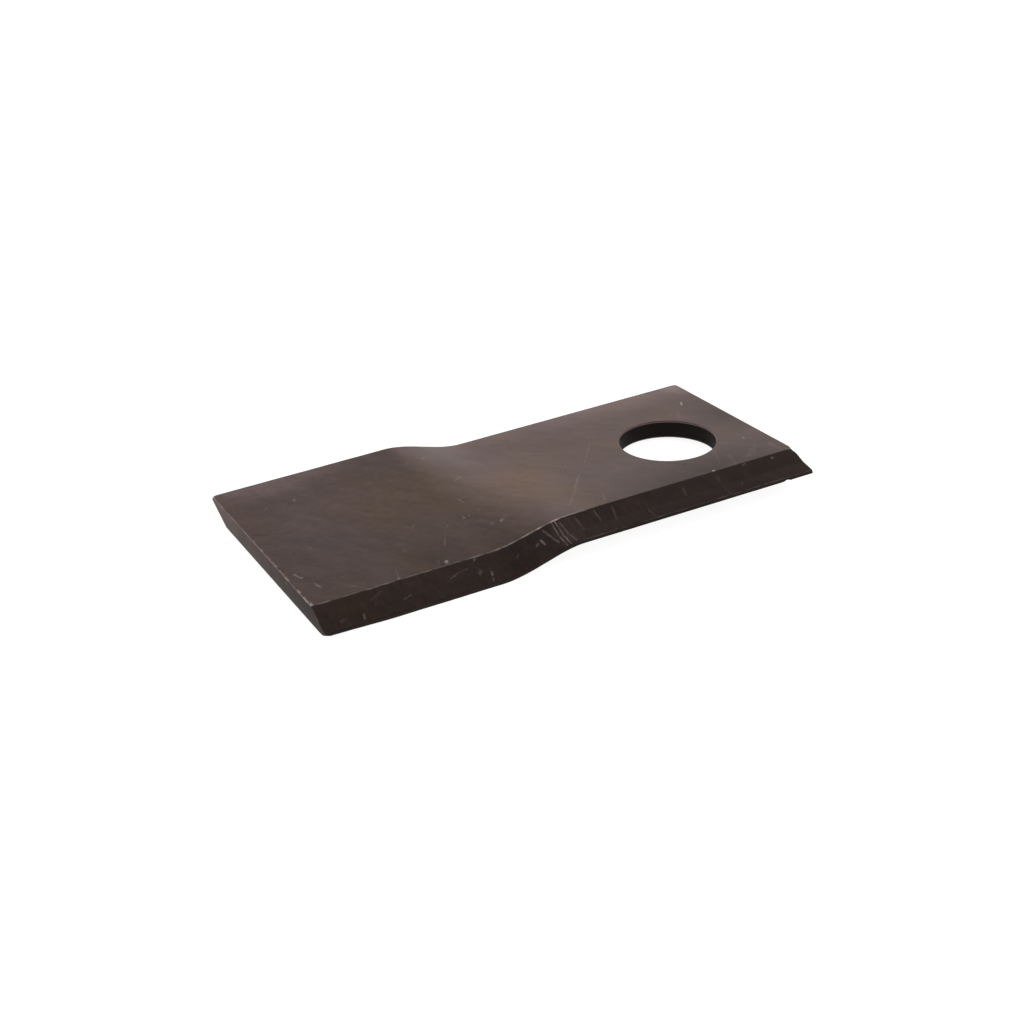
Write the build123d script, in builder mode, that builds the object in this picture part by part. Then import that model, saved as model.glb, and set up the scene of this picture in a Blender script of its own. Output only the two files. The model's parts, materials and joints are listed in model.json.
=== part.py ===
from build123d import *
import os
from math import cos, radians, sin

os.makedirs("parts", exist_ok=True)

# A disc mower knife: one flat steel bar, bevelled along both long edges and twisted
# about its long axis between the half that is pinned to the disc and the cutting wing.
# Millimetres. The origin is the centre of the bore at mid-thickness, +Z runs along the
# bore, +X points to the sheared end behind the bore and the wing reaches out along -X.

# Bar
width = 50.0  # from one cutting edge to the other
thickness = 4.0

# Lengths along the blade
mounting_reach = 20.0  # bore centre to the sheared end behind it, at mid-thickness
flat_reach = 37.5  # bore centre to where the twist starts
twist_length = 19.5
wing_length = 40.0  # flat wing, from the end of the twist to its tip

# Twist
twist_angle = 9.2  # degrees, with the leading edge of the wing down
twist_steps = 8  # spans between the sections of the twisted length

# Bevels. The leading one faces up and has a kink, the trailing one faces down and is plain.
edge_land = 0.95  # blunt upright strip left along each cutting edge
leading_bevel = 6.2  # width of the whole bevel, seen from above
leading_lip = 3.0  # width of its flatter, outer facet
leading_lip_rise = 0.95  # height that the outer facet climbs above the land
trailing_bevel = 6.6

# Bore
bore_diameter = 21.0
bore_break = 0.3  # chamfer round both rims

# Edge softening
edge_radius = 0.25  # at the cutting edges
shoulder_radius = 0.25  # where a bevel meets the flat
kink_radius = 0.9  # in the kink of the leading bevel
end_break = 0.15  # chamfer round the two sheared ends
end_slant = 0.9  # how much further the lower edge of the mounting end reaches than the upper

half_width = width / 2
half_thickness = thickness / 2
twist_start = -flat_reach
twist_end = twist_start - twist_length

leading_shoulder = (-half_width + leading_bevel, half_thickness)
leading_kink = (-half_width + leading_lip, -half_thickness + edge_land + leading_lip_rise)
leading_edge_top = (-half_width, -half_thickness + edge_land)
leading_edge_bottom = (-half_width, -half_thickness)
trailing_shoulder = (half_width - trailing_bevel, -half_thickness)
trailing_edge_bottom = (half_width, half_thickness - edge_land)
trailing_edge_top = (half_width, half_thickness)


def section_at(x, angle):
    """The bar's cross-section at x, turned about the long axis by angle in degrees."""
    across = (0, cos(radians(angle)), sin(radians(angle)))
    with BuildSketch(Plane(origin=(x, 0, 0), x_dir=across, z_dir=(1, 0, 0))) as section:
        with BuildLine():
            Polyline(
                leading_shoulder,
                leading_kink,
                leading_edge_top,
                leading_edge_bottom,
                trailing_shoulder,
                trailing_edge_bottom,
                trailing_edge_top,
                close=True,
            )
        make_face()
        # Across the bar come the two leading corners, the kink, the two shoulders and the
        # two trailing corners. The rounded kink then counts as two.
        fillet(section.vertices().sort_by(Axis.X)[2], kink_radius)
        fillet(section.vertices().sort_by(Axis.X)[4:-2], shoulder_radius)
        corners = section.vertices().sort_by(Axis.X)
        fillet(corners[:2] + corners[-2:], edge_radius)
    return section.sketch


def eased(fraction):
    """Rises from 0 to 1 and is level at both ends, as a bar does when it is twisted."""
    return fraction**2 * (3 - 2 * fraction)


with BuildPart() as blade:
    # Flat mounting half
    lower_reach = mounting_reach + end_slant / 2
    extrude(section_at(lower_reach, 0), amount=-(lower_reach + flat_reach))

    # Twisted length
    twist_sections = []
    for step in range(twist_steps + 1):
        along = step / twist_steps
        x = twist_start - twist_length * along
        twist_sections.append(section_at(x, twist_angle * eased(along)))
    loft(twist_sections)

    # Flat wing
    extrude(section_at(twist_end, twist_angle), amount=-wing_length)

    # Sheared ends. The shear leaves the mounting end leaning out towards the lower face.
    shear_plane = Plane(origin=(mounting_reach, 0, 0), z_dir=(thickness, 0, end_slant))
    split(bisect_by=shear_plane, keep=Keep.BOTTOM)
    along_blade = blade.faces().sort_by(Axis.X)
    chamfer(along_blade[0].edges() + along_blade[-1].edges(), end_break)

    # Bore for the pin
    Hole(radius=bore_diameter / 2)
    bore_wall = blade.faces().filter_by(GeomType.CYLINDER).sort_by(SortBy.RADIUS)[-1]
    chamfer(bore_wall.edges().filter_by(GeomType.CIRCLE), bore_break)

blade.part.label = "blade"
export_step(blade.part, "parts/blade.step")
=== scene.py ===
import json
import math

import bmesh
import bpy
import numpy as np
from mathutils import Matrix, Vector


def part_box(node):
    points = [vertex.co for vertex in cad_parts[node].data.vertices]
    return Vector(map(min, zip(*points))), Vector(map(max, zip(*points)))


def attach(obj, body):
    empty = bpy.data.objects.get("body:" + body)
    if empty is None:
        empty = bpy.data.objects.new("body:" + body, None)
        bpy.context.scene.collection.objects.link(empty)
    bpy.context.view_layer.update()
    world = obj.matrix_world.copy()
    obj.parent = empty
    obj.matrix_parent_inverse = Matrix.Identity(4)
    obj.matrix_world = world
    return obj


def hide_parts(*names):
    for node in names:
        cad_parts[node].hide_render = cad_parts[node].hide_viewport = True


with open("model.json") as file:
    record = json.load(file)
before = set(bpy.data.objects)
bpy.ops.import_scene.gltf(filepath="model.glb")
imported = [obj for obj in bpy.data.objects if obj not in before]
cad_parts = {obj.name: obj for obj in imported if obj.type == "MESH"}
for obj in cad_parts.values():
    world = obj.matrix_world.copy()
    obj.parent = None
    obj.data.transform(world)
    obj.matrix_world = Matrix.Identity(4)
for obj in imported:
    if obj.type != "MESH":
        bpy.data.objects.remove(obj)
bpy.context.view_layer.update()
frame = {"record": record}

mm = 0.001  # the meshes are worked out in millimetres and stored in metres


knife = dict(
    width=50.0,            # from one cutting edge to the other
    thickness=4.0,
    twistStart=-37.5,      # where the flat mounting half ends
    twistLength=19.5,
    twistAngle=9.2,        # degrees, leading edge of the wing down
    edgeLand=0.95,         # blunt strip along each cutting edge
    leadingBevel=6.2,
    leadingLip=3.0,        # flatter outer facet of the leading bevel
    leadingLipRise=0.95,
    trailingBevel=6.6,
    edgeRadius=0.25,
    shoulderRadius=0.25,
    kinkRadius=0.9,
    endSlant=0.9,          # how much further the mounting end reaches at the lower face
    endRadius=0.15,        # round at the two sheared ends
    rimRadius=0.3,         # round at both rims of the bore
    cell=0.5,              # size of the mesh's squares on the flats
    arcSteps=4,            # steps in the rounds along the blade
    bluntArcSteps=3,       # the same, where a bevel meets the blunt strip
    hold=0.06,             # distance of the extra rows that keep the flats flat beside a round
    window=14.0,           # half side of the square that the rings round the bore fill
    ringRows=9,
    ringCrowding=0.8,      # below 1, the rings lie closer together towards the bore
    wallRows=10,
    capRows=9,
    roundSteps=4,          # steps in the rounds at the ends and rims
    slantBlend=6.0,        # length over which the mesh takes up the end's slant
    edgeWaver=0.03,        # how far the long edges wander inwards
    waverWidth=1.0,        # strip along each edge that wanders
    waverSpacings=(1.3, 7.0),
    tipTaper=0.45,         # how far the land's lower edge is worn up at the wing's tip
    tipTaperLength=17.0,
    tipTaperWidth=2.0,
    tipTaperFade=0.5,      # height over which it fades towards the land's upper edge
    seed=7,
)

# Small hurts: place on the untwisted blade, reach and push, all in millimetres
dents = [
    dict(place=(20.0, -18.9, 2.0), reach=1.5, push=(-0.22, 0.06, -0.26)),
    dict(place=(13.6, -25.0, -2.0), reach=0.9, push=(0.0, 0.14, 0.28)),
    dict(place=(-97.0, -25.0, -2.0), reach=1.2, push=(0.24, 0.14, 0.20)),
    dict(place=(-97.0, 25.0, 2.0), reach=0.8, push=(0.15, -0.12, -0.10)),
    dict(place=(-97.0, -6.0, 2.0), reach=0.7, push=(0.08, 0.0, -0.09)),
    dict(place=(-84.0, -18.8, 2.0), reach=0.7, push=(0.0, 0.0, -0.10)),
    dict(place=(-71.5, -25.0, -1.4), reach=0.6, push=(0.0, 0.12, 0.05)),
    dict(place=(-22.0, -25.0, -1.2), reach=0.7, push=(0.0, 0.10, -0.04)),
    dict(place=(20.0, 25.0, 2.0), reach=0.9, push=(-0.14, -0.12, -0.10)),
]


# A chain of points through corners: straight runs of a given number of steps, and at each
# rounded inner corner an arc that leaves its two runs at radius * tan(half the turn). A run
# that meets an arc gets one more point close to it, so that the run stays flat.
def roundedChain(corners, radii, runSteps, arcSteps, hold):
    corners = np.array(corners, float)
    points = [corners[0]]
    afterArc = False
    for i in range(1, len(corners)):
        start, end, arc = points[-1], corners[i], np.zeros((0, 2))
        beforeArc = i < len(corners) - 1 and radii[i - 1] > 0
        if beforeArc:
            into = (end - corners[i - 1]) / np.linalg.norm(end - corners[i - 1])
            out = (corners[i + 1] - end) / np.linalg.norm(corners[i + 1] - end)
            turn = math.acos(float(np.clip(into @ out, -1, 1)))
            side = math.copysign(1.0, into[0] * out[1] - into[1] * out[0])
            end = end - into * radii[i - 1] * math.tan(turn / 2)
            centre = end + side * radii[i - 1] * np.array([-into[1], into[0]])
            angles = side * turn * np.arange(1, arcSteps[i - 1] + 1) / arcSteps[i - 1]
            spoke = end - centre
            arc = centre + np.stack([spoke[0] * np.cos(angles) - spoke[1] * np.sin(angles),
                                     spoke[0] * np.sin(angles) + spoke[1] * np.cos(angles)], -1)
        run = np.linalg.norm(end - start)
        shares = [np.arange(1, runSteps[i - 1] + 1) / runSteps[i - 1]]
        if afterArc:
            shares.append([hold / run])
        if beforeArc:
            shares.append([1 - hold / run])
        along = np.sort(np.concatenate(shares))[:, None]
        points += list(start + (end - start) * along) + list(arc)
        afterArc = beforeArc
    return np.array(points)


# The bar's section as two chains from the leading land to the trailing land, with the
# same number of points each: one over the top, one along the bottom
def sectionChains(k):
    w, t = k["width"] / 2, k["thickness"] / 2
    leadMid, trailMid = -t + k["edgeLand"] / 2, t - k["edgeLand"] / 2
    shoulder, kink = -w + k["leadingBevel"], -w + k["leadingLip"]
    kinkHeight = -t + k["edgeLand"] + k["leadingLipRise"]
    across = round(2 * k["window"] / k["cell"])
    toLead = round((-k["window"] - shoulder) / k["cell"])
    toTrail = round((w - k["window"]) / k["cell"])
    lip = round(k["leadingLip"] / k["cell"])
    bevel = round((k["leadingBevel"] - k["leadingLip"]) / k["cell"])
    e, r = k["edgeRadius"], k["shoulderRadius"]
    arc, blunt = k["arcSteps"], k["bluntArcSteps"]
    top = roundedChain(
        [(-w, leadMid), (-w, -t + k["edgeLand"]), (kink, kinkHeight), (shoulder, t), (-k["window"], t),
         (k["window"], t), (w, t), (w, trailMid)],
        [e, k["kinkRadius"], r, 0, 0, e], [1, lip, bevel, toLead, across, toTrail, 1],
        [blunt, arc, arc, 0, 0, arc], k["hold"])
    trailShoulder = w - k["trailingBevel"]
    toShoulder = round((trailShoulder - k["window"]) / k["cell"])

    def bottomChain(bevelSteps):
        return roundedChain(
            [(-w, leadMid), (-w, -t), (-k["window"], -t), (k["window"], -t), (trailShoulder, -t),
             (w, t - k["edgeLand"]), (w, trailMid)],
            [e, 0, 0, r, e], [1, toTrail, across, toShoulder, bevelSteps, 1],
            [arc, 0, 0, arc, blunt], k["hold"])

    return top, bottomChain(1 + len(top) - len(bottomChain(1)))


# Unit vectors that point out of a closed chain: the chord between a point's two
# neighbours, turned a quarter turn
def outward(loop):
    chord = np.roll(loop, -1, 0) - np.roll(loop, 1, 0)
    normal = np.stack([chord[:, 1], -chord[:, 0]], -1)
    normal /= np.linalg.norm(normal, axis=1, keepdims=True)
    area = np.sum(loop[:, 0] * np.roll(loop[:, 1], -1) - np.roll(loop[:, 0], -1) * loop[:, 1])
    return normal * np.sign(area)


# Faces of a grid of rows by columns whose first point has the number first
def gridFaces(first, rows, columns, wrap=False):
    index = first + np.arange(rows * columns).reshape(rows, columns)
    if wrap:
        index = np.concatenate([index, index[:, :1]], 1)
    return np.stack([index[:-1, :-1], index[:-1, 1:], index[1:, 1:], index[1:, :-1]], -1)


# The untwisted blade, as grids: the skin is section by station, each end cap is the blend of
# the top and bottom chains, and the bore is rings that go from a square on the top face, in to
# the circle, down the wall and out to the same square on the bottom face. Each face gets the
# number of its finish.
def flatBlade(k):
    low, high = (np.array(c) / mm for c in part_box("blade"))
    high = high[0] - k["endSlant"] / 2
    low = low[0]
    top, bottom = sectionChains(k)
    loop = np.concatenate([top, bottom[-2:0:-1]])
    normal = outward(loop)
    steps = k["roundSteps"]
    quarter = np.linspace(0, math.pi / 2, steps + 1)
    r, t = k["endRadius"], k["thickness"] / 2
    endIn, endTurn = r - r * np.sin(quarter), r * (1 - np.cos(quarter))
    window, hold = k["window"], k["hold"]
    wingCells, endCells = round((-window - low) / k["cell"]), round((high - window) / k["cell"])
    windowSide = np.linspace(-window, window, round(2 * window / k["cell"]) + 1)
    flats = [[low + r + hold], np.linspace(low + r, -window, wingCells)[1:-1], windowSide,
             np.linspace(window, high - r, endCells)[1:-1], [high - r - hold]]
    stations = np.concatenate([low + endIn[::-1], *flats, high - endIn])
    inset = np.concatenate([endTurn[::-1], np.zeros(sum(len(f) for f in flats)), endTurn])

    skin = np.empty((len(stations), len(loop), 3))
    skin[..., 0] = stations[:, None]
    skin[..., 1:] = loop - inset[:, None, None] * normal
    tiny = 1e-6
    inX = np.abs(stations) <= window + tiny
    inX = inX[:-1] & inX[1:]
    onFlat = np.abs(np.abs(loop[:, 1]) - t) < tiny
    level = onFlat & np.roll(onFlat, -1) & (np.abs(np.roll(loop[:, 1], -1) - loop[:, 1]) < tiny)
    inY = np.abs(loop[:, 0]) <= window + tiny
    inY = inY & np.roll(inY, -1) & level
    keep = ~(inX[:, None] & inY)
    onLand = np.abs(loop[:, 0]) > k["width"] / 2 - k["edgeRadius"] - tiny
    onLand = onLand & np.roll(onLand, -1)
    stripFinish = np.where(level, finishOrder["rolledFace"], finishOrder["rolledBevelPaintedShade"])
    stripFinish = np.where(onLand, finishOrder["bluntLandPaintedShade"], stripFinish)
    skinFinish = np.broadcast_to(stripFinish, keep.shape)
    grids, faces = [skin.reshape(-1, 3)], [gridFaces(0, *skin.shape[:2], wrap=True)[keep]]
    finish = [skinFinish[keep]]
    count = skin.shape[0] * skin.shape[1]

    for row in (skin[0], skin[-1]):
        over, under = row[:len(top)], np.concatenate([row[:1], row[:len(top) - 2:-1]])
        share = np.linspace(0, 1, k["capRows"])[:, None, None]
        cap = under * (1 - share) + over * share
        grids.append(cap.reshape(-1, 3))
        faces.append(gridFaces(count, *cap.shape[:2]).reshape(-1, 4))
        finish.append(np.full(len(faces[-1]), finishOrder["shearedEnd"]))
        count += cap.shape[0] * cap.shape[1]

    side = windowSide[:-1]
    full = np.full_like(side, window)
    square = np.concatenate([np.stack([side, -full], -1), np.stack([full, side], -1),
                             np.stack([-side, full], -1), np.stack([-full, -side], -1)])
    circle = square / np.linalg.norm(square, axis=1, keepdims=True)
    bore = frame["record"]["mounts"][0]["dims"]["r_mm"]
    rim = k["rimRadius"]
    share = np.linspace(0, 1, k["ringRows"])[:-1] ** k["ringCrowding"]
    share = np.append(share, [1 - hold / 4, 1])[:, None, None]
    flatRing = square * (1 - share) + circle * (bore + rim) * share
    reach = np.concatenate([bore + rim - rim * np.sin(quarter[1:]), np.full(k["wallRows"] - 1, bore)])
    height = np.concatenate([t - rim * (1 - np.cos(quarter[1:])),
                             np.linspace(t - rim, -t + rim, k["wallRows"] + 1)[1:-1]])
    reach = np.concatenate([reach, reach[:steps][::-1]])
    height = np.concatenate([height, -height[:steps][::-1]])
    ring = np.concatenate([
        np.concatenate([flatRing, np.full(flatRing.shape[:2] + (1,), t)], -1),
        np.concatenate([circle * reach[:, None, None],
                        np.broadcast_to(height[:, None, None], (len(height), len(circle), 1))], -1),
        np.concatenate([flatRing[::-1], np.full(flatRing.shape[:2] + (1,), -t)], -1)])
    grids.append(ring.reshape(-1, 3))
    ringFaces = gridFaces(count, *ring.shape[:2], wrap=True)
    row = np.arange(len(ringFaces))
    beforeWall = len(flatRing) + steps - 1
    onWall = (row >= beforeWall) & (row < len(ringFaces) - beforeWall)
    ringFinish = np.where(onWall, finishOrder["punchedBorePaintedShade"], finishOrder["rolledFace"])
    faces.append(ringFaces.reshape(-1, 4))
    finish.append(np.repeat(ringFinish, ringFaces.shape[1]))
    return np.concatenate(grids), np.concatenate(faces), np.concatenate(finish), low, high, bore


# Rises from 0 to 1 and is level at both ends: 3 u squared less 2 u cubed
def eased(u):
    u = np.clip(u, 0, 1)
    return u * u * (3 - 2 * u)


# Leans the mounting end out towards the lower face, then turns each point about the long
# axis by the twist reached at its station
def twisted(points, k, high):
    angle = np.radians(k["twistAngle"]) * eased((k["twistStart"] - points[:, 0]) / k["twistLength"])
    x, y, z = points.T
    x = x - z * k["endSlant"] / k["thickness"] * eased(1 - (high - x) / k["slantBlend"])
    cos, sin = np.cos(angle), np.sin(angle)
    return np.stack([x, y * cos - z * sin, y * sin + z * cos], -1)


# Smooth random values between 0 and 1 along a line: random knots a given distance apart,
# joined by a line that is eased between them
def waver(rng, at, spacing):
    knots = rng.uniform(0, 1, int((at.max() - at.min()) / spacing) + 3)
    where = (at - at.min()) / spacing
    before = np.floor(where).astype(int)
    return knots[before] + (knots[before + 1] - knots[before]) * eased(where - before)


# Hurts and unevenness of the real piece, on the untwisted blade
def worn(points, k, low, rng):
    moved = points.copy()
    w, t = k["width"] / 2, k["thickness"] / 2
    side = np.clip((np.abs(points[:, 1]) - w) / k["waverWidth"] + 1, 0, 1)
    wander = sum(waver(rng, points[:, 0], spacing) for spacing in k["waverSpacings"])
    moved[:, 1] -= np.sign(points[:, 1]) * k["edgeWaver"] * side * wander
    nearTip = eased(1 - (points[:, 0] - low) / k["tipTaperLength"])
    outside = np.clip((-points[:, 1] - w) / k["tipTaperWidth"] + 1, 0, 1)
    below = np.clip((-t + k["edgeLand"] - points[:, 2]) / k["tipTaperFade"], 0, 1)
    moved[:, 2] += k["tipTaper"] * nearTip * outside * below
    for dent in dents:
        gap = np.linalg.norm(points - np.array(dent["place"]), axis=1) / dent["reach"]
        moved += eased(1 - gap)[:, None] * np.array(dent["push"])
    return moved


# Distance of each row of points to the nearest side of a closed polygon
def gapToPolygon(points, corners):
    start = np.array(corners, float)
    side = np.roll(start, -1, 0) - start
    away = points[:, None] - start
    share = np.clip(np.sum(away * side, -1) / np.sum(side * side, -1), 0, 1)
    return np.linalg.norm(away - share[..., None] * side, axis=-1).min(1)


# How much each edge is rubbed, from 0 to 1, and by how much more in the bend, on the wing, on
# the mounting half or on the near side of the bore. Places and lengths are in millimetres.
rubbing = dict(
    shoulder=0.03,
    shoulderInBend=0.55,
    shoulderOnWing=0.22,
    landTop=0.03,
    landTopOnMount=0.10,
    landLow=0.05,
    trailShoulder=0.20,
    trailShoulderInBend=0.30,
    trailLow=0.20,
    trailTop=0.35,
    rimTop=0.05,
    rimTopNear=0.20,
    rimLow=0.10,
    tipTop=0.22,
    tipLow=0.08,
    mountEnd=0.45,
    bendPlace=-44.0,
    bendReach=8.0,
    wingPlace=-30.0,       # rises from here towards the wing
    wingRise=12.0,
    mountPlace=-42.0,      # rises from here towards the mounting end
    mountRise=8.0,
    nearTurn=-0.5,         # radians round the bore
    nearReach=0.4,
)


# How far each point is from the nearest edge, in millimetres, and how much that edge is
# rubbed at that place, from 0 to 1. In the bend it is a bell curve: e to the power of minus
# the square of the distance over the reach.
def edgeRubbing(points, k, r, low, high, bore):
    x, y, z = points.T
    w, t = k["width"] / 2, k["thickness"] / 2
    kinkHeight = -t + k["edgeLand"] + k["leadingLipRise"]
    corners = [(-w + k["leadingBevel"], t), (-w + k["leadingLip"], kinkHeight), (-w, -t + k["edgeLand"]),
               (-w, -t), (w - k["trailingBevel"], -t), (w, t - k["edgeLand"]), (w, t)]
    shoulder, _, landTop, landLow, trailShoulder, trailLow, trailTop = (
        np.hypot(y - across, z - up) for across, up in corners)
    outline = gapToPolygon(points[:, 1:], corners)
    rim = np.hypot(x, y) - bore
    inBend = np.exp(-((x - r["bendPlace"]) / r["bendReach"]) ** 2)
    onWing = eased((r["wingPlace"] - x) / r["wingRise"])
    onMount = eased((x - r["mountPlace"]) / r["mountRise"])
    nearSide = np.exp(-((np.arctan2(y, x) - r["nearTurn"]) / r["nearReach"]) ** 2)
    edges = [
        (shoulder, r["shoulder"] + r["shoulderOnWing"] * onWing + r["shoulderInBend"] * inBend),
        (landTop, r["landTop"] + r["landTopOnMount"] * onMount),
        (landLow, r["landLow"]),
        (trailShoulder, r["trailShoulder"] + r["trailShoulderInBend"] * inBend),
        (trailLow, r["trailLow"]),
        (trailTop, r["trailTop"]),
        (np.hypot(rim, z - t), r["rimTop"] + r["rimTopNear"] * nearSide),
        (np.hypot(rim, z + t), r["rimLow"]),
        (np.hypot(x - low, outline), np.where(z > 0, r["tipTop"], r["tipLow"])),
        (np.hypot(x - high, outline), r["mountEnd"]),
    ]
    gaps = np.array([gap for gap, _ in edges])
    uses = np.array([np.broadcast_to(use, x.shape) for _, use in edges])
    nearest = gaps.argmin(0)
    rows = np.arange(len(x))
    return gaps[nearest, rows], uses[nearest, rows]


# One closed mesh from points in millimetres and quads, with named values on its points and
# a finish for each face
def closedMesh(name, points, quads, finish, values):
    mesh = bpy.data.meshes.new(name)
    mesh.from_pydata((points * mm).tolist(), [], quads.tolist())
    mesh.polygons.foreach_set("material_index", finish.astype(np.int32))
    for key, value in values.items():
        kind, field = ("FLOAT_VECTOR", "vector") if value.ndim == 2 else ("FLOAT", "value")
        layer = mesh.attributes.new(key, kind, "POINT")
        layer.data.foreach_set(field, value.astype(np.float32).ravel())
    work = bmesh.new()
    work.from_mesh(mesh)
    bmesh.ops.remove_doubles(work, verts=work.verts, dist=1e-4 * mm)
    bmesh.ops.dissolve_degenerate(work, edges=work.edges, dist=1e-5 * mm)
    bmesh.ops.recalc_face_normals(work, faces=work.faces)
    for face in work.faces:
        face.smooth = True
    openEdges = sum(1 for edge in work.edges if len(edge.link_faces) != 2)
    work.to_mesh(mesh)
    work.free()
    print(name, "points", len(mesh.vertices), "faces", len(mesh.polygons), "open edges", openEdges)
    piece = bpy.data.objects.new(name, mesh)
    bpy.context.collection.objects.link(piece)
    return piece


finishOrder = dict(rolledFace=0, rolledBevelPaintedShade=1, shearedEnd=2, punchedBorePaintedShade=3, bluntLandPaintedShade=4)
rng = np.random.default_rng(knife["seed"])
flat, quads, finish, tipEnd, mountEnd, bore = flatBlade(knife)
gap, use = edgeRubbing(flat, knife, rubbing, tipEnd, mountEnd, bore)
points = twisted(worn(flat, knife, tipEnd, rng), knife, mountEnd)
bladeSkin = closedMesh("bladeSkin", points, quads, finish,
                       {"flatPlace": flat, "edgeGap": gap, "edgeUse": use})
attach(bladeSkin, "root")
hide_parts("blade")
print("blade made")


# Adds a node and links named inputs to sockets or values
def addNode(tree, kind, inputs=(), **settings):
    node = tree.nodes.new(kind)
    for key, value in settings.items():
        setattr(node, key, value)
    for key, value in dict(inputs).items():
        if isinstance(value, bpy.types.NodeSocket):
            tree.links.new(value, node.inputs[key])
        else:
            node.inputs[key].default_value = value
    return node


# The result of one sum on numbers, and of one sum on vectors
def calc(tree, operation, *values, clamp=False):
    node = addNode(tree, "ShaderNodeMath", dict(enumerate(values)), operation=operation, use_clamp=clamp)
    return node.outputs[0]


def vectorCalc(tree, operation, *values):
    node = addNode(tree, "ShaderNodeVectorMath", dict(enumerate(values)), operation=operation)
    return node.outputs["Value" if operation in ("DOT_PRODUCT", "LENGTH") else "Vector"]


def scaled(tree, vector, factor):
    node = addNode(tree, "ShaderNodeVectorMath", {0: vector, "Scale": factor}, operation="SCALE")
    return node.outputs["Vector"]


def turned(tree, vector, rotation):
    node = addNode(tree, "ShaderNodeVectorRotate", {"Vector": vector, "Rotation": rotation},
                   rotation_type="EULER_XYZ")
    return node.outputs[0]


def mixed(tree, share, first, second):
    node = addNode(tree, "ShaderNodeMix", {0: share, 6: first, 7: second}, data_type="RGBA")
    return node.outputs[2]


# Falls smoothly from 1 at nought to 0 at a given reach, and stays 0 without a clamp
def falloff(tree, gap, reach):
    values = {"Value": gap, "From Min": 0.0, "From Max": reach, "To Min": 1.0, "To Max": 0.0}
    node = addNode(tree, "ShaderNodeMapRange", values, interpolation_type="SMOOTHSTEP", clamp=False)
    return node.outputs["Result"]


# Takes one range over into another in a straight line, each given as its low and its high end
def spread(tree, value, source, target):
    values = {"Value": value, "From Min": source[0], "From Max": source[1],
              "To Min": target[0], "To Max": target[1]}
    return addNode(tree, "ShaderNodeMapRange", values).outputs["Result"]


def noise(tree, place, scale=1.0, detail=3.0, roughness=0.5, distortion=0.0):
    values = {"Vector": place, "Scale": scale, "Detail": detail, "Roughness": roughness,
              "Distortion": distortion}
    return addNode(tree, "ShaderNodeTexNoise", values).outputs


# A node group with named sockets. An input whose first value is a tuple is a vector, and all
# other sockets are numbers.
def newGroup(name, inputs, outputs):
    group = bpy.data.node_groups.new(name, "ShaderNodeTree")
    for label, value in inputs.items():
        kind = "NodeSocketVector" if isinstance(value, tuple) else "NodeSocketFloat"
        socket = group.interface.new_socket(name=label, in_out="INPUT", socket_type=kind)
        socket.default_value = value
    for label in outputs:
        group.interface.new_socket(name=label, in_out="OUTPUT", socket_type="NodeSocketFloat")
    return group, addNode(group, "NodeGroupInput").outputs, addNode(group, "NodeGroupOutput")


def placed(tree, group, **inputs):
    return addNode(tree, "ShaderNodeGroup", inputs, node_tree=group)


origin = (0.0, 0.0, 0.0)


# One mark: strongest on the line from Start to End and gone at Width from it, times Tone. It
# keeps what is stronger, itself or Before, so that marks can be strung together. No node in it
# has its clamp on: Cycles works those out last and keeps every mark waiting for them, and with
# 59 marks that runs out of room and makes the steel black.
def strokeGroup():
    group, given, out = newGroup("stroke", dict(Before=0.0, Place=origin, Start=origin,
                                                End=(1.0, 0.0, 0.0), Width=0.3, Tone=1.0), ["Mask"])
    run = vectorCalc(group, "SUBTRACT", given["End"], given["Start"])
    away = vectorCalc(group, "SUBTRACT", given["Place"], given["Start"])
    share = calc(group, "DIVIDE", vectorCalc(group, "DOT_PRODUCT", away, run),
                 vectorCalc(group, "DOT_PRODUCT", run, run))
    share = calc(group, "MINIMUM", calc(group, "MAXIMUM", share, 0.0), 1.0)
    gap = vectorCalc(group, "LENGTH", vectorCalc(group, "SUBTRACT", away, scaled(group, run, share)))
    mask = calc(group, "MULTIPLY", falloff(group, gap, given["Width"]), given["Tone"])
    group.links.new(calc(group, "MAXIMUM", mask, given["Before"]), out.inputs["Mask"])
    return group


# A soft patch: 1 at Centre and 0 at the ellipsoid with the half sizes Reach, times Tone and
# added to Before
def patchGroup():
    group, given, out = newGroup("softPatch", dict(Place=origin, Centre=origin, Reach=(1.0, 1.0, 1.0),
                                                   Before=0.0, Tone=1.0), ["Sum"])
    away = vectorCalc(group, "SUBTRACT", given["Place"], given["Centre"])
    gap = vectorCalc(group, "LENGTH", vectorCalc(group, "DIVIDE", away, given["Reach"]))
    near = falloff(group, gap, 1.0)
    group.links.new(calc(group, "MULTIPLY_ADD", near, given["Tone"], given["Before"]), out.inputs["Sum"])
    return group


speckKinds = dict(
    size=(0.4, 1.3),       # smallest and largest, as shares of Size
    strength=(0.3, 1.0),
)


# Scattered specks: in each cell of a random pattern, Share of the cells has a spot of about
# Size cells across. A stretched Place turns the spots into short scratches.
def speckGroup(c):
    group, given, out = newGroup("specks", dict(Place=origin, Stretch=(1.0, 1.0, 1.0), Turn=origin,
                                                Share=0.1, Size=0.2), ["Mask"])
    place = turned(group, given["Place"], given["Turn"])
    cells = addNode(group, "ShaderNodeTexVoronoi", {
        "Vector": vectorCalc(group, "MULTIPLY", place, given["Stretch"]), "Scale": 1.0}).outputs
    chance = addNode(group, "ShaderNodeSeparateColor", {0: cells["Color"]}).outputs
    size = calc(group, "MULTIPLY", given["Size"], spread(group, chance["Green"], (0, 1), c["size"]))
    spot = falloff(group, cells["Distance"], size)
    picked = calc(group, "LESS_THAN", chance["Red"], given["Share"])
    faded = calc(group, "MULTIPLY", picked, spread(group, chance["Blue"], (0, 1), c["strength"]))
    group.links.new(calc(group, "MULTIPLY", spot, faded), out.inputs["Mask"])
    return group


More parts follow.
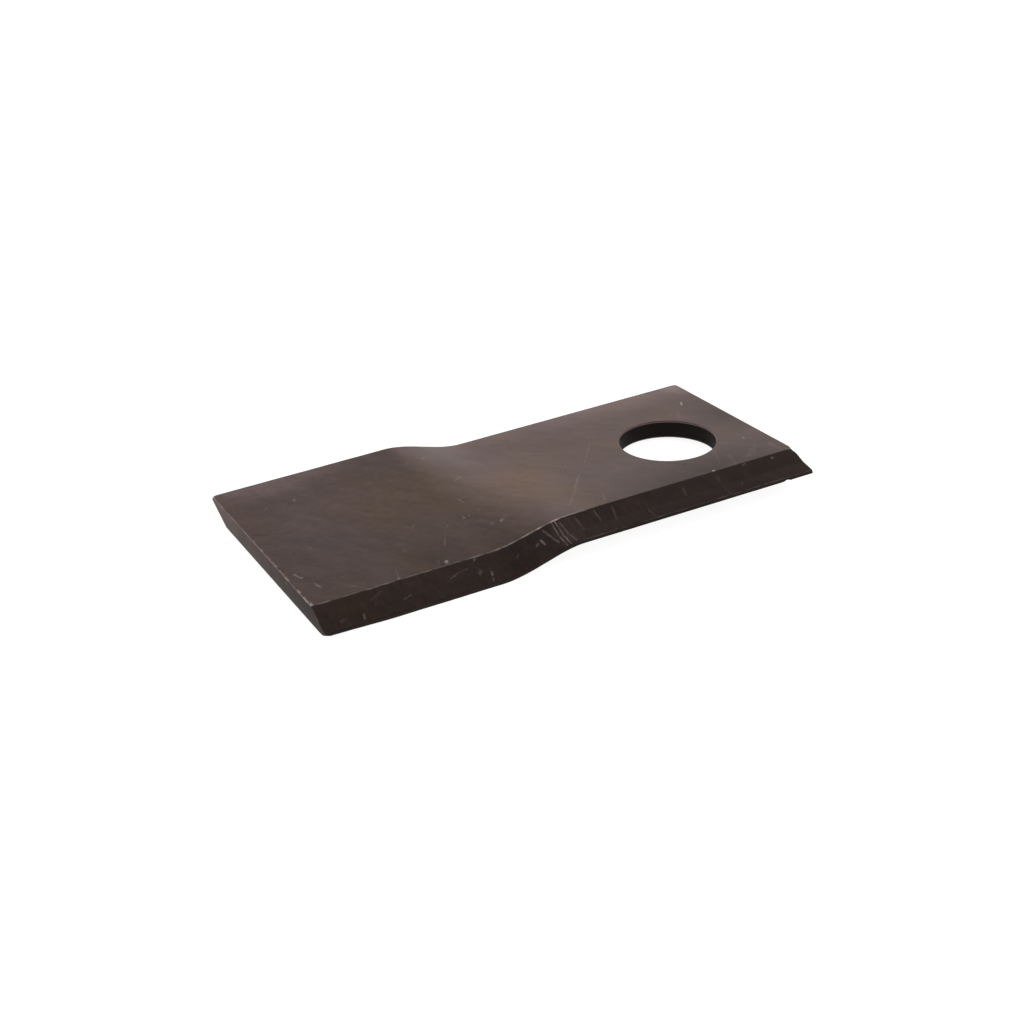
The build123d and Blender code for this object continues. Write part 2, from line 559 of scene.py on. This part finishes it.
chipping = dict(
    scale=0.35,            # of the noise that breaks up the rubbed edges, per millimetre
    detail=4.0,
    roughness=0.6,
    reachNoise=(0.35, 0.65),
    reach=(0.8, 1.25),
    useNoise=(0.38, 0.62),
    use=(0.35, 1.25),
)


# Bright metal at rubbed edges: falls off with the gap to the edge, is broken up by noise
# along it, and is as strong as that edge is rubbed
def edgeWearGroup(c):
    group, given, out = newGroup("edgeWear", dict(Place=origin, Gap=1.0, Use=0.0, Reach=0.3), ["Mask"])
    chips = noise(group, given["Place"], c["scale"], c["detail"], c["roughness"])["Fac"]
    reach = calc(group, "MULTIPLY", given["Reach"], spread(group, chips, c["reachNoise"], c["reach"]))
    use = calc(group, "MULTIPLY", given["Use"], spread(group, chips, c["useNoise"], c["use"]))
    bright = calc(group, "MULTIPLY", falloff(group, given["Gap"], reach), use, clamp=True)
    group.links.new(bright, out.inputs["Mask"])
    return group


mottling = dict(
    streaks=(0.14, 0.36, 0.36),        # scale of the middle noise, along and across its slant
    streakDetail=6.0,
    streakRoughness=0.68,
    streakDistortion=0.3,
    broadDetail=3.0,
    fineDetail=6.0,
    fineRoughness=0.6,
)


# Uneven oxide: three sizes of noise, 0 to 1. The large one is soft, the middle one lies in
# slanting streaks and the small one is streaked by Stretch.
def oxideGroup(c):
    group, given, out = newGroup("oxideMottle", dict(Place=origin, Patch=24.0, Stretch=(1.0, 1.0, 1.0),
                                                     Slant=(0.0, 0.0, 0.8)), ["Broad", "Middle", "Fine"])
    slanted = vectorCalc(group, "MULTIPLY", turned(group, given["Place"], given["Slant"]), c["streaks"])
    middle = noise(group, slanted, 1.0, c["streakDetail"], c["streakRoughness"], c["streakDistortion"])
    broad = noise(group, given["Place"], calc(group, "DIVIDE", 1.0, given["Patch"]), c["broadDetail"])
    stretched = vectorCalc(group, "MULTIPLY", given["Place"], given["Stretch"])
    fine = noise(group, stretched, 1.0, c["fineDetail"], c["fineRoughness"])
    group.links.new(broad["Fac"], out.inputs["Broad"])
    group.links.new(middle["Fac"], out.inputs["Middle"])
    group.links.new(fine["Fac"], out.inputs["Fine"])
    return group


stroke, softPatch, specks, edgeWear, oxideMottle = (
    strokeGroup(), patchGroup(), speckGroup(speckKinds), edgeWearGroup(chipping), oxideGroup(mottling))


# Height of the top side at a distance across the blade
def topHeight(k, y):
    w, t = k["width"] / 2, k["thickness"] / 2
    return float(np.interp(y, [-w, -w + k["leadingLip"], -w + k["leadingBevel"], w],
                           [-t + k["edgeLand"], -t + k["edgeLand"] + k["leadingLipRise"], t, t]))


# Marks on the flat of the top side: where they run on the untwisted blade, in millimetres,
# how wide they are and how much lighter (or darker, below nought) they are
faceMarks = [
    dict(run=((-96.8, -18.7), (-96.7, -18.0)), width=0.60, tone=1.00),
    dict(run=((-96.9, -18.0), (-96.9, -15.6)), width=0.40, tone=0.80),
    dict(run=((-96.8, -13.8), (-96.8, -13.0)), width=0.50, tone=0.55),
    dict(run=((-96.9, -9.0), (-96.9, -5.3)), width=0.42, tone=0.50),
    dict(run=((-96.9, -3.8), (-96.9, -2.2)), width=0.42, tone=0.50),
    dict(run=((-96.9, -0.8), (-96.9, -0.2)), width=0.45, tone=0.35),
    dict(run=((-96.9, 2.4), (-96.9, 3.0)), width=0.45, tone=0.40),
    dict(run=((-96.9, 5.6), (-96.9, 6.4)), width=0.40, tone=0.30),
    dict(run=((-96.2, 8.2), (-93.2, 6.8)), width=0.35, tone=-0.36),
    dict(run=((-92.2, 6.9), (-88.6, 5.4)), width=0.35, tone=-0.33),
    dict(run=((-95.0, -7.8), (-94.2, -9.6)), width=0.45, tone=0.37),
    dict(run=((-92.8, -12.4), (-92.4, -13.9)), width=0.40, tone=0.34),
    dict(run=((-97.0, -10.4), (-94.5, -11.6)), width=0.35, tone=0.08),
    dict(run=((-88.3, -0.3), (-87.6, -1.2)), width=0.35, tone=0.11),
    dict(run=((-89.6, 15.5), (-89.1, 15.9)), width=0.35, tone=0.12),
    dict(run=((-82.9, 15.6), (-82.5, 16.1)), width=0.50, tone=0.24),
    dict(run=((-91.8, -1.5), (-91.5, -1.0)), width=0.40, tone=-0.25),
    dict(run=((-75.9, 9.1), (-75.0, 9.0)), width=0.35, tone=-0.20),
    dict(run=((-65.8, -3.8), (-65.4, -3.2)), width=0.40, tone=0.18),
    dict(run=((-64.1, 19.3), (-63.6, 20.0)), width=0.35, tone=0.12),
    dict(run=((-63.4, 8.0), (-62.8, 9.0)), width=0.22, tone=0.11),
    dict(run=((-71.9, -10.9), (-71.3, -9.8)), width=0.22, tone=0.11),
    dict(run=((-62.2, -10.6), (-60.9, -8.2)), width=0.22, tone=0.08),
    dict(run=((-55.9, 17.0), (-54.6, 18.2)), width=0.45, tone=0.10),
    dict(run=((-59.5, -6.8), (-59.0, -6.4)), width=0.40, tone=0.12),
    dict(run=((-63.4, -12.4), (-62.2, -10.6)), width=0.30, tone=0.18),
    dict(run=((-77.5, -18.7), (-77.2, -18.2)), width=0.45, tone=0.70),
    dict(run=((-77.2, -18.2), (-76.4, -15.6)), width=0.35, tone=0.10),
    dict(run=((-66.2, -17.9), (-65.9, -17.5)), width=0.55, tone=0.80),
    dict(run=((-67.7, -17.6), (-67.4, -16.7)), width=0.35, tone=0.15),
    dict(run=((-86.9, -16.2), (-85.9, -16.9)), width=0.60, tone=0.11),
    dict(run=((-50.8, 18.8), (-49.6, 19.4)), width=0.50, tone=0.11),
    dict(run=((-49.0, 7.9), (-46.9, 9.1)), width=0.40, tone=0.12),
    dict(run=((-52.4, 0.8), (-52.0, -0.7)), width=0.40, tone=0.15),
    dict(run=((-55.2, -6.0), (-54.8, -5.1)), width=0.35, tone=0.18),
    dict(run=((-53.9, -5.7), (-53.4, -5.4)), width=0.42, tone=0.27),
    dict(run=((-55.0, -5.9), (-54.7, -5.6)), width=0.32, tone=0.20),
    dict(run=((-51.0, -4.8), (-50.6, -4.6)), width=0.35, tone=0.16),
    dict(run=((-51.3, -10.6), (-50.9, -10.4)), width=0.38, tone=0.20),
    dict(run=((-54.4, -6.4), (-53.9, -6.2)), width=0.35, tone=-0.29),
    dict(run=((-53.3, -8.3), (-52.2, -8.0)), width=0.35, tone=0.12),
    dict(run=((-49.2, -11.1), (-48.4, -10.6)), width=0.55, tone=0.37),
    dict(run=((-47.8, -10.3), (-47.3, -9.8)), width=0.35, tone=0.18),
    dict(run=((-47.5, 2.9), (-46.9, 1.6)), width=0.50, tone=-0.18),
    dict(run=((-30.6, -3.9), (-30.2, -3.1)), width=0.50, tone=-0.20),
    dict(run=((-35.3, -15.4), (-29.2, -8.6)), width=0.24, tone=0.17),
    dict(run=((-29.3, -8.3), (-24.6, -2.9)), width=0.30, tone=0.20),
    dict(run=((-25.9, 0.9), (-24.2, 3.2)), width=0.20, tone=0.09),
    dict(run=((-20.9, 0.9), (-17.3, 5.3)), width=0.22, tone=0.11),
    dict(run=((-17.1, 5.6), (-14.6, 8.4)), width=0.24, tone=0.13),
    dict(run=((-27.7, -17.3), (-26.3, -14.2)), width=0.26, tone=0.12),
    dict(run=((13.8, 14.3), (14.4, 15.3)), width=0.42, tone=0.90),
    dict(run=((13.5, 13.8), (13.7, 13.2)), width=0.40, tone=-0.29),
    dict(run=((4.6, -18.6), (6.4, -13.6)), width=0.60, tone=0.06),
    dict(run=((9.4, -16.9), (12.2, -13.7)), width=0.80, tone=0.05),
    dict(run=((11.2, -16.2), (14.6, -12.0)), width=0.45, tone=0.06),
    dict(run=((17.0, -14.0), (17.6, -17.6)), width=0.50, tone=0.10),
    dict(run=((17.8, -8.8), (18.1, -14.6)), width=0.40, tone=0.07),
    dict(run=((2.2, -16.2), (5.1, -9.6)), width=0.55, tone=0.04),
    dict(run=((8.6, 7.4), (10.6, 11.6)), width=0.60, tone=0.05),
    dict(run=((-7.0, -9.6), (-4.0, -12.4)), width=0.45, tone=-0.30),
    dict(run=((13.9, -8.9), (14.5, -8.0)), width=0.38, tone=0.24),
    dict(run=((-4.6, -12.6), (-3.9, -12.2)), width=0.60, tone=-0.43),
    dict(run=((-5.4, -11.6), (-4.9, -11.4)), width=0.40, tone=-0.25),
    dict(run=((-11.6, -6.4), (-8.8, -9.0)), width=0.45, tone=-0.14),
    dict(run=((2.2, -15.4), (2.7, -14.7)), width=0.50, tone=-0.25),
    dict(run=((-1.3, -18.6), (-0.9, -18.5)), width=0.42, tone=0.90),
]

# The same for the leading bevel, where the rolls and the twisting tool have left strokes
bevelMarks = [
    dict(run=((-85.0, -20.8), (-82.0, -19.8)), width=0.35, tone=0.04),
    dict(run=((-92.6, -23.0), (-91.2, -22.7)), width=0.40, tone=0.07),
    dict(run=((-87.9, -24.0), (-87.6, -22.9)), width=0.40, tone=0.15),
    dict(run=((-78.2, -22.3), (-76.4, -22.0)), width=0.40, tone=0.08),
    dict(run=((-67.0, -21.2), (-64.8, -20.6)), width=0.25, tone=0.12),
    dict(run=((-64.8, -20.6), (-62.8, -20.4)), width=0.22, tone=0.09),
    dict(run=((-60.6, -21.9), (-60.2, -21.4)), width=0.50, tone=0.15),
    dict(run=((-60.6, -19.4), (-60.2, -19.0)), width=0.35, tone=0.15),
    dict(run=((-58.4, -22.9), (-58.1, -22.3)), width=0.40, tone=0.22),
    dict(run=((-58.8, -24.2), (-58.5, -23.8)), width=0.40, tone=0.20),
    dict(run=((-51.8, -21.5), (-51.2, -21.2)), width=0.35, tone=0.11),
    dict(run=((-47.1, -21.4), (-46.6, -21.2)), width=0.40, tone=0.14),
    dict(run=((-45.8, -20.9), (-45.4, -21.9)), width=0.35, tone=0.30),
    dict(run=((-44.4, -19.6), (-43.4, -21.4)), width=0.34, tone=0.16),
    dict(run=((-43.3, -21.5), (-42.8, -22.9)), width=0.34, tone=0.22),
    dict(run=((-42.0, -18.9), (-41.9, -22.0)), width=0.24, tone=0.26),
    dict(run=((-41.9, -22.0), (-41.7, -24.9)), width=0.24, tone=0.30),
    dict(run=((-41.2, -18.9), (-41.0, -22.0)), width=0.24, tone=0.30),
    dict(run=((-41.0, -22.0), (-40.8, -24.9)), width=0.24, tone=0.34),
    dict(run=((-40.4, -19.6), (-39.9, -22.0)), width=0.28, tone=0.14),
    dict(run=((-39.9, -22.0), (-39.4, -24.4)), width=0.28, tone=0.18),
    dict(run=((-36.7, -19.8), (-36.3, -22.4)), width=0.40, tone=0.09),
    dict(run=((-31.9, -19.5), (-31.7, -21.6)), width=0.35, tone=0.11),
    dict(run=((-28.2, -22.4), (-27.6, -19.6)), width=0.35, tone=0.09),
    dict(run=((-30.5, -25.0), (-29.9, -25.0)), width=0.42, tone=0.60),
    dict(run=((-26.4, -25.0), (-26.1, -25.0)), width=0.38, tone=0.50),
    dict(run=((-20.4, -22.2), (-20.2, -25.0)), width=0.30, tone=0.07),
    dict(run=((-10.5, -21.6), (-10.2, -20.4)), width=0.60, tone=0.05),
    dict(run=((-1.4, -20.0), (-1.2, -24.8)), width=0.40, tone=0.07),
    dict(run=((2.9, -23.2), (3.2, -22.8)), width=0.35, tone=0.10),
    dict(run=((6.0, -19.3), (6.6, -19.1)), width=0.35, tone=0.18),
]

# Broad patches that make the blade lighter or darker and browner or more violet: centre and
# half sizes on the untwisted blade, how much lighter, and how much browner (or, below nought,
# more violet). The lightness of some is painted highlight and painted shade, as noted at them.
facePatches = [
    # these four make the face lighter along its far edge
    dict(centre=(-84, 26), reach=(24, 10), light=0.84, brown=-0.35),
    dict(centre=(4, 26), reach=(44, 10), light=0.70, brown=-0.20),
    dict(centre=(-36, 25), reach=(20, 9), light=0.30, brown=-0.20),
    dict(centre=(20, 25), reach=(9, 8), light=0.60, brown=0.0),
    dict(centre=(-76, 8), reach=(28, 14), light=0.13, brown=0.0),
    dict(centre=(-60, 6), reach=(19, 19), light=0.0, brown=0.40),
    dict(centre=(-88, 2), reach=(12, 20), light=0.0, brown=-0.30),
    # painted highlight: the bend is made lighter, and browner, where it catches the light
    dict(centre=(-38, -1), reach=(17, 27), light=0.30, brown=0.30),
    dict(centre=(-45, 21), reach=(10, 8), light=0.0, brown=-0.40),
    # these two make the face darker along its near edge
    dict(centre=(-1, -20), reach=(36, 16), light=-0.58, brown=-0.15),
    dict(centre=(-66, -17), reach=(14, 13), light=-0.26, brown=0.0),
    dict(centre=(18, 5), reach=(10, 14), light=-0.34, brown=-0.20),
    dict(centre=(13, -12), reach=(12, 10), light=0.0, brown=-0.30),
    dict(centre=(4, -18), reach=(5, 1.6), light=0.14, brown=0.0),
    dict(centre=(9.5, -16.5), reach=(3, 1.4), light=0.14, brown=0.0),
    dict(centre=(16, -14), reach=(4, 2), light=0.12, brown=0.0),
]

bevelPatches = [
    # painted highlight: the bevel in the bend is made lighter, as a sheen between the die strokes
    dict(centre=(-40, -22), reach=(5, 6), light=0.7, brown=0.0),
    # painted shade: the lip on the mounting half is made darker against the light it gets from the floor
    # and the horizon
    dict(centre=(-8, -25), reach=(40, 3.5), light=-0.35, brown=0.0),
    dict(centre=(-51, -22), reach=(9, 6), light=-0.15, brown=-0.2),
    dict(centre=(-90, -22), reach=(16, 6), light=0.0, brown=0.4),
]

endPatches = [
    # darker towards the near corner of the sheared end, lighter towards its far corner
    dict(centre=(-97, -24), reach=(3, 40), light=-0.78, brown=-0.1),
    dict(centre=(-97, 24), reach=(3, 14), light=0.70, brown=0.0),
]

steel = dict(
    grazingTint=(1.0, 0.94, 0.91, 1),  # the oxide stays brown where it is seen at a low angle
    violet=(0.122, 0.091, 0.094, 1),
    brown=(0.130, 0.090, 0.081, 1),
    olive=(0.132, 0.089, 0.064, 1),
    bare=(0.66, 0.57, 0.53, 1),        # rubbed through to the metal
    grime=(0.020, 0.013, 0.012, 1),
    noiseRange=(0.3, 0.7),             # what the noises really reach of 0 to 1
    brownSpread=(-0.3, 0.3),
    patchHeight=2.0,                   # of the patches' centres, in millimetres
    markWobble=0.25,                   # how far the marks wander, in millimetres
    wobbleScale=1.1,
    patchyScale=0.9,                   # of the noise that makes the marks stronger and fainter
    patchyNoise=(0.36, 0.58),
    patchyTone=(0.40, 1.0),
    pits=dict(Stretch=(0.55, 0.55, 0.55), Size=0.22),
    pitTone=0.30,
    pitDepth=0.03,                     # millimetres
    dots=dict(Stretch=(0.45, 0.45, 0.45), Size=0.16),
    dotShift=(31.0, 17.0, 5.0),        # keeps the dots off the pits
    dotTone=0.30,
    scratches=dict(Stretch=(0.10, 1.5, 1.0), Share=0.16, Size=0.20),
    scratchTone=0.10,
    rubbedSmoother=0.08,
)

# For each finish: how light and in what tint the oxide is, how much it shines, the size and
# strength of its mottling (lengths in millimetres), how many specks it has, how far rubbed
# edges reach in, and how far round its scratches are turned, in radians. The low shades of the
# bevel, the blunt land and the bore are painted shade.
finishes = dict(
    rolledFace=dict(
        shade=1.12, tint=(1, 1, 1), metallic=0.85, sheen=0.40, roughness=0.42, roughnessSpread=0.10,
        patch=15.0, patchDepth=3.0, stretch=(0.5, 1.3, 1.3), lightSpread=0.28, grainDepth=0.010,
        speckShare=0.055, wearReach=0.32, scratchTurn=0.85, marks=faceMarks, patches=facePatches),
    # painted shade: the bevel's shade lies far below the face's, as dark as a face turned from the light
    rolledBevelPaintedShade=dict(
        shade=0.285, tint=(1.10, 0.98, 0.95), metallic=0.30, sheen=0.20, roughness=0.50,
        roughnessSpread=0.10, patch=9.0, patchDepth=9.0, stretch=(1.6, 0.45, 0.45), lightSpread=0.34,
        grainDepth=0.010, speckShare=0.10, wearReach=0.24, scratchTurn=1.5, marks=bevelMarks,
        patches=bevelPatches),
    shearedEnd=dict(
        shade=0.62, tint=(1, 1, 1), metallic=0.60, sheen=0.25, roughness=0.55, roughnessSpread=0.10,
        patch=9.0, patchDepth=9.0, stretch=(1.0, 2.0, 0.4), lightSpread=0.50, grainDepth=0.030,
        speckShare=0.32, wearReach=0.26, scratchTurn=0.0, marks=[], patches=endPatches),
    # painted shade: the bore wall is painted nearly black for the shade inside the bore
    punchedBorePaintedShade=dict(
        shade=0.070, tint=(1, 1, 1), metallic=0.20, sheen=0.15, roughness=0.70, roughnessSpread=0.08,
        patch=9.0, patchDepth=9.0, stretch=(1.6, 1.6, 0.4), lightSpread=0.30, grainDepth=0.020,
        speckShare=0.02, wearReach=0.20, scratchTurn=0.0, marks=[], patches=[]),
    # painted shade: the blunt land is painted dark, so that it stays dark where it reflects the floor
    bluntLandPaintedShade=dict(
        shade=0.16, tint=(1.08, 0.98, 0.96), metallic=0.30, sheen=0.15, roughness=0.60,
        roughnessSpread=0.08, patch=9.0, patchDepth=9.0, stretch=(1.6, 0.6, 0.6), lightSpread=0.34,
        grainDepth=0.010, speckShare=0.06, wearReach=0.20, scratchTurn=0.0, marks=[], patches=[]),
)


# One finish of the same steel. Its tint and shade come from noise, the broad patches and the
# finish's shade, which hold painted highlight and painted shade as well as the oxide's own
# unevenness. Grime, marks, specks, scratches and rubbed edges lie over it in that order.
def steelFinish(name, s, f):
    material = bpy.data.materials.new(name)
    material.use_nodes = True
    tree = material.node_tree
    shader = tree.nodes["Principled BSDF"]
    shader.inputs["Metallic"].default_value = f["metallic"]
    shader.inputs["Specular IOR Level"].default_value = f["sheen"]
    shader.inputs["Specular Tint"].default_value = s["grazingTint"]
    place = addNode(tree, "ShaderNodeAttribute", attribute_name="flatPlace").outputs["Vector"]
    gap = addNode(tree, "ShaderNodeAttribute", attribute_name="edgeGap").outputs["Fac"]
    use = addNode(tree, "ShaderNodeAttribute", attribute_name="edgeUse").outputs["Fac"]
    oxide = placed(tree, oxideMottle, Place=place, Patch=f["patch"], Stretch=f["stretch"]).outputs

    light, brown = 1.0, 0.5
    # the patches' light is painted highlight and painted shade in places, as noted at the lists
    for patch in f["patches"]:
        where = dict(Place=place, Centre=(*patch["centre"], s["patchHeight"]),
                     Reach=(*patch["reach"], f["patchDepth"]))
        if patch["light"]:
            light = placed(tree, softPatch, **where, Before=light, Tone=patch["light"]).outputs["Sum"]
        if patch["brown"]:
            brown = placed(tree, softPatch, **where, Before=brown, Tone=patch["brown"]).outputs["Sum"]
    brown = calc(tree, "ADD", brown, spread(tree, oxide["Broad"], s["noiseRange"], s["brownSpread"]))
    ramp = addNode(tree, "ShaderNodeValToRGB", {0: brown})
    ramp.color_ramp.elements[0].color = s["violet"]
    ramp.color_ramp.elements[1].color = s["olive"]
    ramp.color_ramp.elements.new(0.5).color = s["brown"]
    half = f["lightSpread"] / 2
    for size in ("Fine", "Middle"):
        unevenLight = spread(tree, oxide[size], s["noiseRange"], (1 - half, 1 + half))
        light = calc(tree, "MULTIPLY", light, unevenLight)
    # the finish's shade, which is painted shade for the bevel, the blunt land and the bore
    light = calc(tree, "MULTIPLY", light, f["shade"])
    colour = scaled(tree, vectorCalc(tree, "MULTIPLY", ramp.outputs["Color"], f["tint"]), light)

    wobble = vectorCalc(tree, "SUBTRACT", noise(tree, place, s["wobbleScale"])["Color"], (0.5, 0.5, 0.5))
    marked = vectorCalc(tree, "ADD", place, scaled(tree, wobble, 2 * s["markWobble"]))
    patchy = spread(tree, noise(tree, place, s["patchyScale"])["Fac"], s["patchyNoise"], s["patchyTone"])
    strung = {True: 0.0, False: 0.0}
    for mark in f["marks"]:
        lighter = mark["tone"] > 0
        start, end = ((*point, topHeight(knife, point[1])) for point in mark["run"])
        mask = placed(tree, stroke, Before=strung[lighter], Place=marked, Start=start, End=end,
                      Width=mark["width"], Tone=abs(mark["tone"]))
        strung[lighter] = mask.outputs["Mask"]
    pits = placed(tree, specks, Place=place, Share=f["speckShare"], **s["pits"]).outputs["Mask"]
    stains = calc(tree, "MULTIPLY", strung[False], patchy)
    stains = calc(tree, "MAXIMUM", stains, calc(tree, "MULTIPLY", pits, s["pitTone"]))
    colour = mixed(tree, stains, colour, s["grime"])
    shifted = vectorCalc(tree, "ADD", place, s["dotShift"])
    dots = placed(tree, specks, Place=shifted, Share=f["speckShare"], **s["dots"]).outputs["Mask"]
    scratches = placed(tree, specks, Place=place, Turn=(0.0, 0.0, f["scratchTurn"]),
                       **s["scratches"]).outputs["Mask"]
    wear = placed(tree, edgeWear, Place=place, Gap=gap, Use=use, Reach=f["wearReach"]).outputs["Mask"]
    rubbed = calc(tree, "MAXIMUM", calc(tree, "MULTIPLY", dots, s["dotTone"]),
                  calc(tree, "MULTIPLY", scratches, s["scratchTone"]))
    rubbed = calc(tree, "MAXIMUM", rubbed, calc(tree, "MULTIPLY", strung[True], patchy))
    rubbed = calc(tree, "MAXIMUM", rubbed, wear)
    colour = mixed(tree, rubbed, colour, s["bare"])
    tree.links.new(colour, shader.inputs["Base Color"])

    half = f["roughnessSpread"] / 2
    ends = (f["roughness"] - half, f["roughness"] + half)
    roughness = spread(tree, oxide["Fine"], s["noiseRange"], ends)
    roughness = calc(tree, "MULTIPLY_ADD", wear, -s["rubbedSmoother"], roughness)
    tree.links.new(roughness, shader.inputs["Roughness"])
    height = calc(tree, "MULTIPLY", oxide["Fine"], f["grainDepth"])
    height = calc(tree, "MULTIPLY_ADD", pits, -s["pitDepth"], height)
    bump = addNode(tree, "ShaderNodeBump", {"Strength": 1.0, "Distance": mm, "Height": height})
    tree.links.new(bump.outputs["Normal"], shader.inputs["Normal"])
    return material


for name in finishOrder:
    bladeSkin.data.materials.append(steelFinish(name, steel, finishes[name]))
print("steel made")


studio = dict(
    floorSize=6.0,         # metres
    floorColour=(0.30, 0.30, 0.30, 1),
    floorRoughness=0.9,
    floorGlow=0.90,        # added for the camera and for reflections, so that the floor reads white
    skyLight=0.75,
    horizon=0.95,          # what metal reflects near the horizon and overhead
    overhead=0.12,
    horizonHeight=0.45,    # heights between which the one goes over into the other
    overheadHeight=0.9,
)

camera = dict(
    place=(-276.145, -397.673, 217.334),           # millimetres
    turn=(64.4035, 1.8387, -31.5963),              # degrees
    lens=85.66,
    nearest=0.01,          # metres
    farthest=50,
)


# Light Path's value for the camera, for reflections or for anything seen through glass
def seenDirectly(tree):
    path = addNode(tree, "ShaderNodeLightPath").outputs
    seen = calc(tree, "MAXIMUM", path["Is Camera Ray"], path["Is Glossy Ray"])
    return calc(tree, "MAXIMUM", seen, path["Is Transmission Ray"])


# A pale floor that touches the wing's leading edge and the mounting half's trailing shoulder
def makeFloor(k, s):
    w, t = k["width"] / 2, k["thickness"] / 2
    twist = math.radians(k["twistAngle"])
    lead = Matrix.Rotation(twist, 3, "X") @ Vector((0, -w, -t))
    trail = Vector((0, w - k["trailingBevel"], -t))
    tilt = Matrix.Rotation(math.atan2(trail.z - lead.z, trail.y - lead.y), 4, "X")
    half = s["floorSize"] / 2
    square = ((-half, -half), (half, -half), (half, half), (-half, half))
    corners = [lead * mm + tilt @ Vector((x, y, 0)) for x, y in square]
    mesh = bpy.data.meshes.new("floor")
    mesh.from_pydata([tuple(c) for c in corners], [], [(0, 1, 2, 3)])
    floor = bpy.data.objects.new("floor", mesh)
    bpy.context.collection.objects.link(floor)
    material = bpy.data.materials.new("floorWhite")
    material.use_nodes = True
    tree = material.node_tree
    shader = tree.nodes["Principled BSDF"]
    shader.inputs["Base Color"].default_value = s["floorColour"]
    shader.inputs["Roughness"].default_value = s["floorRoughness"]
    shader.inputs["Emission Color"].default_value = (1, 1, 1, 1)
    glow = calc(tree, "MULTIPLY", seenDirectly(tree), s["floorGlow"])
    tree.links.new(glow, shader.inputs["Emission Strength"])
    floor.data.materials.append(material)


# White to the camera, and to metal white at the horizon and dark overhead
def makeSky(s):
    world = bpy.data.worlds.new("studioSky")
    bpy.context.scene.world = world
    world.use_nodes = True
    tree = world.node_tree
    tree.nodes.clear()
    path = addNode(tree, "ShaderNodeLightPath").outputs
    where = addNode(tree, "ShaderNodeTexCoord").outputs["Generated"]
    height = addNode(tree, "ShaderNodeSeparateXYZ", {0: where}).outputs["Z"]
    glow = addNode(tree, "ShaderNodeMapRange", {
        "Value": height, "From Min": s["horizonHeight"], "From Max": s["overheadHeight"],
        "To Min": s["horizon"], "To Max": s["overhead"]}, interpolation_type="SMOOTHSTEP").outputs["Result"]
    unseen = addNode(tree, "ShaderNodeMix", {
        0: path["Is Glossy Ray"], 2: s["skyLight"], 3: glow}).outputs[0]
    strength = addNode(tree, "ShaderNodeMix", {0: path["Is Camera Ray"], 2: unseen, 3: 1.0}).outputs[0]
    background = addNode(tree, "ShaderNodeBackground", {"Color": (1, 1, 1, 1), "Strength": strength})
    addNode(tree, "ShaderNodeOutputWorld", {"Surface": background.outputs[0]})


def makeCamera(c):
    data = bpy.data.cameras.new("camera")
    data.lens = c["lens"]
    data.clip_start = c["nearest"]
    data.clip_end = c["farthest"]
    eye = bpy.data.objects.new("camera", data)
    eye.location = Vector(c["place"]) * mm
    eye.rotation_euler = [math.radians(a) for a in c["turn"]]
    bpy.context.collection.objects.link(eye)
    bpy.context.scene.camera = eye


makeFloor(knife, studio)
makeSky(studio)
makeCamera(camera)
bpy.context.scene.view_settings.view_transform = "Standard"
print("studio made")
